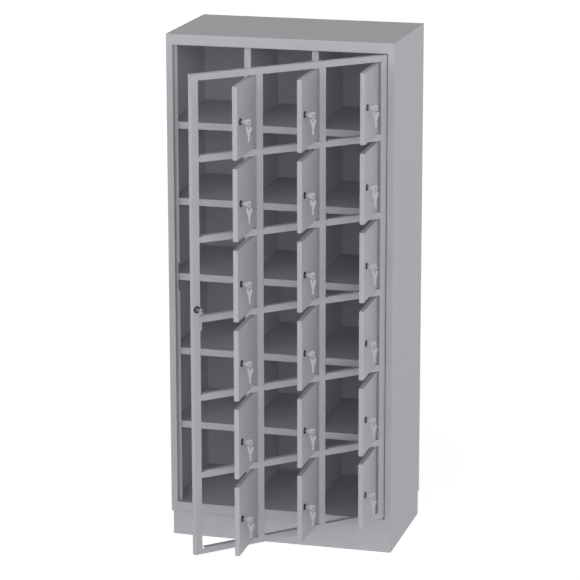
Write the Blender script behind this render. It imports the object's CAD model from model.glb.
# The compartment locker with its finishes, on a white floor in soft daylight.
# Metres and degrees, colours linear. +Z up, the front of the carcase faces -Y.

import math

import bpy
import numpy as np
from mathutils import Euler, Matrix, Vector

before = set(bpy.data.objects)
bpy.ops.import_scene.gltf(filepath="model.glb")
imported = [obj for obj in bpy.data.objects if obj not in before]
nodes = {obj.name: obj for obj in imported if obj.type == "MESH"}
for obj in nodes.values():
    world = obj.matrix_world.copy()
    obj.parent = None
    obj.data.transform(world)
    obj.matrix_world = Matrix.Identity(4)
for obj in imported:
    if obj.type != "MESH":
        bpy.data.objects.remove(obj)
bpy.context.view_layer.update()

# Colours of the paint and the metals, how much the coats shine and how metallic the plates are
GREY = (0.462, 0.468, 0.494)
BLACK = (0.008, 0.008, 0.009)
NICKEL = (0.385, 0.385, 0.395)
ZINC = (0.32, 0.325, 0.34)
PLUG = (0.22, 0.22, 0.225)
GREY_SHINE = 0.18
BLACK_SHINE = 0.22
PLATE_METAL = 0.85

# Faces that meet at more than this angle keep a crisp edge between them
CREASE = 28
# Corners count as one when they round to the same step, at so many steps to the metre
CORNER_STEPS = 1e6

# The values between which noise mostly lies
NOISE_LOW = 0.3
NOISE_HIGH = 0.7
# Places of the colour mix's sockets, whose names other sockets share
MIX_FACTOR = 0
MIX_DARK = 6
MIX_LIGHT = 7
MIX_RESULT = 2

# Camera, worked out from the corners of the carcase in the picture. The lens is in millimetres, and
# the reach is how far the camera sees.
CAMERA_AT = (2.4517, -9.0862, 3.3037)
CAMERA_TILT = 75.50
CAMERA_TURN = 15.24
CAMERA_ROLL = -0.08
CAMERA_LENS = 171.13
CAMERA_REACH = 60

# Sky: the colour that is seen, the brightness of its light at the horizon, and the height (as a
# sine) at which that has faded
SKY_SEEN = (1, 1, 1, 1)
SKY_SIDE = 2.14
SKY_FADE = 0.7
# Soft lamps: where each comes from, its strength and its width
LAMPS = {
    "front": ((-0.15, -1.0, 0.08), 1.30, 90),
    "front_right": ((0.5, -0.85, 0.10), 0.58, 40),
}
# Weak lamps that light the inside and cast no shadows: where each comes from and its strength
FILLS = {
    "fill_front": ((0, -1, 0), 0.05),
    "fill_left": ((-1, 0, 0), 0.12),
    "fill_right": ((1, 0, 0), 0.12),
    "fill_top": ((0, 0, 1), 0.08),
}

# Floor: its grey, the glow that makes it look white, and how far it reaches each way
FLOOR_GREY = 0.8
FLOOR_GLOW = 0.71
FLOOR_REACH = 30


def node(tree, kind, **settings):
    made = tree.nodes.new(kind)
    for name, value in settings.items():
        setattr(made, name, value)
    return made


def new_material(name):
    material = bpy.data.materials.new(name)
    material.use_nodes = True
    tree = material.node_tree
    return material, tree, tree.nodes["Principled BSDF"]


def noise(tree, place, scale, detail=2.0, roughness=0.5):
    """Noise at so many features to the metre."""
    made = node(tree, "ShaderNodeTexNoise")
    made.inputs["Scale"].default_value = scale
    made.inputs["Detail"].default_value = detail
    made.inputs["Roughness"].default_value = roughness
    tree.links.new(place, made.inputs["Vector"])
    return made.outputs["Fac"]


def grain(tree, scale, **settings):
    """Noise that is fixed to the object."""
    place = node(tree, "ShaderNodeTexCoord")
    return noise(tree, place.outputs["Object"], scale, **settings)


def refit(tree, source, low, high, new_low, new_high):
    """Maps the range from low to high on to the range from new_low to new_high."""
    made = node(tree, "ShaderNodeMapRange")
    made.inputs["From Min"].default_value = low
    made.inputs["From Max"].default_value = high
    made.inputs["To Min"].default_value = new_low
    made.inputs["To Max"].default_value = new_high
    tree.links.new(source, made.inputs["Value"])
    return made.outputs["Result"]


def tinted(tree, shader, source, colour, amount):
    """Colours the shader, a little darker and lighter with the noise."""
    mix = node(tree, "ShaderNodeMix", data_type="RGBA")
    dark = [c * (1 - amount) for c in colour]
    light = [min(1, c * (1 + amount)) for c in colour]
    mix.inputs[MIX_DARK].default_value = (*dark, 1)
    mix.inputs[MIX_LIGHT].default_value = (*light, 1)
    tree.links.new(source, mix.inputs[MIX_FACTOR])
    tree.links.new(mix.outputs[MIX_RESULT], shader.inputs["Base Color"])


def roughened(tree, shader, source, low, high):
    """Makes the shader rougher and smoother with the noise."""
    rough = refit(tree, source, NOISE_LOW, NOISE_HIGH, low, high)
    tree.links.new(rough, shader.inputs["Roughness"])


def bumpy(tree, shader, source, strength, distance):
    bump = node(tree, "ShaderNodeBump")
    bump.inputs["Strength"].default_value = strength
    bump.inputs["Distance"].default_value = distance
    tree.links.new(source, bump.inputs["Height"])
    tree.links.new(bump.outputs["Normal"], shader.inputs["Normal"])


def powder_coat():
    """Satin powder coat: an even colour with a fine orange-peel surface."""
    material, tree, shader = new_material("grey_powder_coat")
    tinted(tree, shader, grain(tree, scale=6, detail=3), GREY, amount=0.012)
    roughened(tree, shader, grain(tree, scale=260), low=0.44, high=0.54)
    peel = grain(tree, scale=900, detail=1.5, roughness=0.45)
    bumpy(tree, shader, peel, strength=0.12, distance=0.00012)
    shader.inputs["Specular IOR Level"].default_value = GREY_SHINE
    return material


def black_coat():
    """The satin black of the locks' bodies and bezels."""
    material, tree, shader = new_material("black_lock_finish")
    tinted(tree, shader, grain(tree, scale=300), BLACK, amount=0.15)
    roughened(tree, shader, grain(tree, scale=1200), low=0.30, high=0.42)
    bumpy(tree, shader, grain(tree, scale=2500), strength=0.1, distance=0.00004)
    shader.inputs["Specular IOR Level"].default_value = BLACK_SHINE
    return material


def plated(name, colour, low, high, scale, stretch=(1, 1, 1)):
    """Plated metal, between two roughnesses, with fine lines from its last grinding."""
    material, tree, shader = new_material(name)
    place = node(tree, "ShaderNodeTexCoord")
    along = node(tree, "ShaderNodeMapping")
    along.inputs["Scale"].default_value = stretch
    tree.links.new(place.outputs["Object"], along.inputs["Vector"])
    lines = noise(tree, along.outputs["Vector"], scale, detail=3)
    tinted(tree, shader, lines, colour, amount=0.05)
    roughened(tree, shader, lines, low, high)
    bumpy(tree, shader, lines, strength=0.15, distance=0.00005)
    shader.inputs["Metallic"].default_value = PLATE_METAL
    return material


def span(mesh, faces):
    """The diagonal of the box round some of the mesh's faces."""
    corners = np.array([mesh.vertices[v].co for f in faces for v in mesh.polygons[f].vertices])
    return np.linalg.norm(np.ptp(corners, axis=0))


def solids(mesh):
    """The faces of each separate solid in the mesh, the largest solid first."""
    places = np.empty(3 * len(mesh.vertices))
    mesh.vertices.foreach_get("co", places)
    steps = np.round(places.reshape(-1, 3) * CORNER_STEPS).astype(np.int64)
    corner = np.unique(steps, axis=0, return_inverse=True)[1].reshape(-1)
    parent = list(range(corner.max() + 1))

    def root(i):
        while parent[i] != i:
            parent[i] = parent[parent[i]]
            i = parent[i]
        return i

    for face in mesh.polygons:
        first = root(corner[face.vertices[0]])
        for vertex in face.vertices[1:]:
            parent[root(corner[vertex])] = first
    groups = {}
    for face in mesh.polygons:
        groups.setdefault(root(corner[face.vertices[0]]), []).append(face.index)
    return sorted(groups.values(), key=lambda faces: span(mesh, faces), reverse=True)


def dress(name, *materials):
    """Gives a node its materials: one for all of it, or one for each solid from the largest down."""
    mesh = nodes[name].data
    mesh.materials.clear()
    for material in dict.fromkeys(materials):
        mesh.materials.append(material)
    if len(mesh.materials) > 1:
        for faces, material in zip(solids(mesh), materials, strict=True):
            for face in faces:
                mesh.polygons[face].material_index = mesh.materials.find(material.name)


def smooth_bends(mesh):
    """Shades the bends round, and keeps the sheet's own edges crisp."""
    mesh.shade_smooth()
    mesh.set_sharp_from_angle(angle=math.radians(CREASE))


def finish_locker():
    paint = powder_coat()
    black = black_coat()
    nickel = plated("nickel_plate", NICKEL, low=0.28, high=0.40, scale=700, stretch=(1, 1, 0.15))
    zinc = plated("zinc_plate", ZINC, low=0.38, high=0.50, scale=500)
    plug = plated("dull_plug", PLUG, low=0.38, high=0.50, scale=500)
    for name in nodes:
        if name.startswith("door_c"):
            # Pan, lock body and clamping nut
            dress(name, paint, black, zinc)
        elif name == "leaf_lock_body":
            dress(name, black, zinc)
        elif name.startswith("lock_c") or name == "leaf_lock_core":
            # Both keys, cam, plug, ring and cam screw
            dress(name, nickel, nickel, zinc, plug, nickel, zinc)
        elif "pins" in name or "washer" in name:
            dress(name, zinc)
        else:
            dress(name, paint)
        smooth_bends(nodes[name].data)


def put(name, data):
    made = bpy.data.objects.new(name, data)
    bpy.context.scene.collection.objects.link(made)
    return made


def camera():
    data = bpy.data.cameras.new("camera")
    data.lens = CAMERA_LENS
    data.clip_end = CAMERA_REACH
    made = put("camera", data)
    made.location = CAMERA_AT
    aim = Euler((math.radians(CAMERA_TILT), 0, math.radians(CAMERA_TURN))).to_matrix()
    made.rotation_euler = (aim @ Matrix.Rotation(math.radians(CAMERA_ROLL), 3, "Z")).to_euler()
    bpy.context.scene.camera = made


def sees_background(tree):
    """1 on rays that come from the camera, a mirror or glass, and 0 on the light that falls on things."""
    path = node(tree, "ShaderNodeLightPath")
    first = node(tree, "ShaderNodeMath", operation="MAXIMUM")
    both = node(tree, "ShaderNodeMath", operation="MAXIMUM")
    tree.links.new(path.outputs["Is Camera Ray"], first.inputs[0])
    tree.links.new(path.outputs["Is Glossy Ray"], first.inputs[1])
    tree.links.new(first.outputs[0], both.inputs[0])
    tree.links.new(path.outputs["Is Transmission Ray"], both.inputs[1])
    return both.outputs[0]


def sky():
    """White to look at, and as a light brightest at the horizon."""
    world = bpy.data.worlds.new("sky")
    bpy.context.scene.world = world
    world.use_nodes = True
    tree = world.node_tree
    tree.nodes.clear()
    place = node(tree, "ShaderNodeTexCoord")
    split = node(tree, "ShaderNodeSeparateXYZ")
    light = node(tree, "ShaderNodeBackground")
    white = node(tree, "ShaderNodeBackground")
    pick = node(tree, "ShaderNodeMixShader")
    out = node(tree, "ShaderNodeOutputWorld")
    white.inputs["Color"].default_value = SKY_SEEN
    tree.links.new(place.outputs["Generated"], split.inputs[0])
    strength = refit(tree, split.outputs["Z"], 0, SKY_FADE, SKY_SIDE, 0)
    tree.links.new(strength, light.inputs["Strength"])
    tree.links.new(sees_background(tree), pick.inputs[0])
    tree.links.new(light.outputs[0], pick.inputs[1])
    tree.links.new(white.outputs[0], pick.inputs[2])
    tree.links.new(pick.outputs[0], out.inputs["Surface"])


def lamp(name, comes_from, strength, width=0, shadows=True):
    data = bpy.data.lights.new(name, "SUN")
    data.energy = strength
    data.angle = math.radians(width)
    data.use_shadow = shadows
    made = put(name, data)
    made.rotation_euler = Vector(comes_from).to_track_quat("Z", "Y").to_euler()


def floor():
    """A white floor that still takes the locker's shadow."""
    material = bpy.data.materials.new("floor")
    material.use_nodes = True
    tree = material.node_tree
    tree.nodes.clear()
    matt = node(tree, "ShaderNodeBsdfDiffuse")
    glow = node(tree, "ShaderNodeEmission")
    level = node(tree, "ShaderNodeMath", operation="MULTIPLY")
    both = node(tree, "ShaderNodeAddShader")
    out = node(tree, "ShaderNodeOutputMaterial")
    matt.inputs["Color"].default_value = (FLOOR_GREY, FLOOR_GREY, FLOOR_GREY, 1)
    level.inputs[1].default_value = FLOOR_GLOW
    tree.links.new(sees_background(tree), level.inputs[0])
    tree.links.new(level.outputs[0], glow.inputs["Strength"])
    tree.links.new(matt.outputs[0], both.inputs[0])
    tree.links.new(glow.outputs[0], both.inputs[1])
    tree.links.new(both.outputs[0], out.inputs["Surface"])
    mesh = bpy.data.meshes.new("floor")
    signs = ((-1, -1), (1, -1), (1, 1), (-1, 1))
    mesh.from_pydata([(FLOOR_REACH * x, FLOOR_REACH * y, 0) for x, y in signs], [], [(0, 1, 2, 3)])
    mesh.materials.append(material)
    made = put("floor", mesh)


finish_locker()
camera()
sky()
for name, settings in LAMPS.items():
    lamp(name, *settings)
for name, settings in FILLS.items():
    lamp(name, *settings, shadows=False)
floor()
bpy.context.scene.view_settings.view_transform = "Standard"
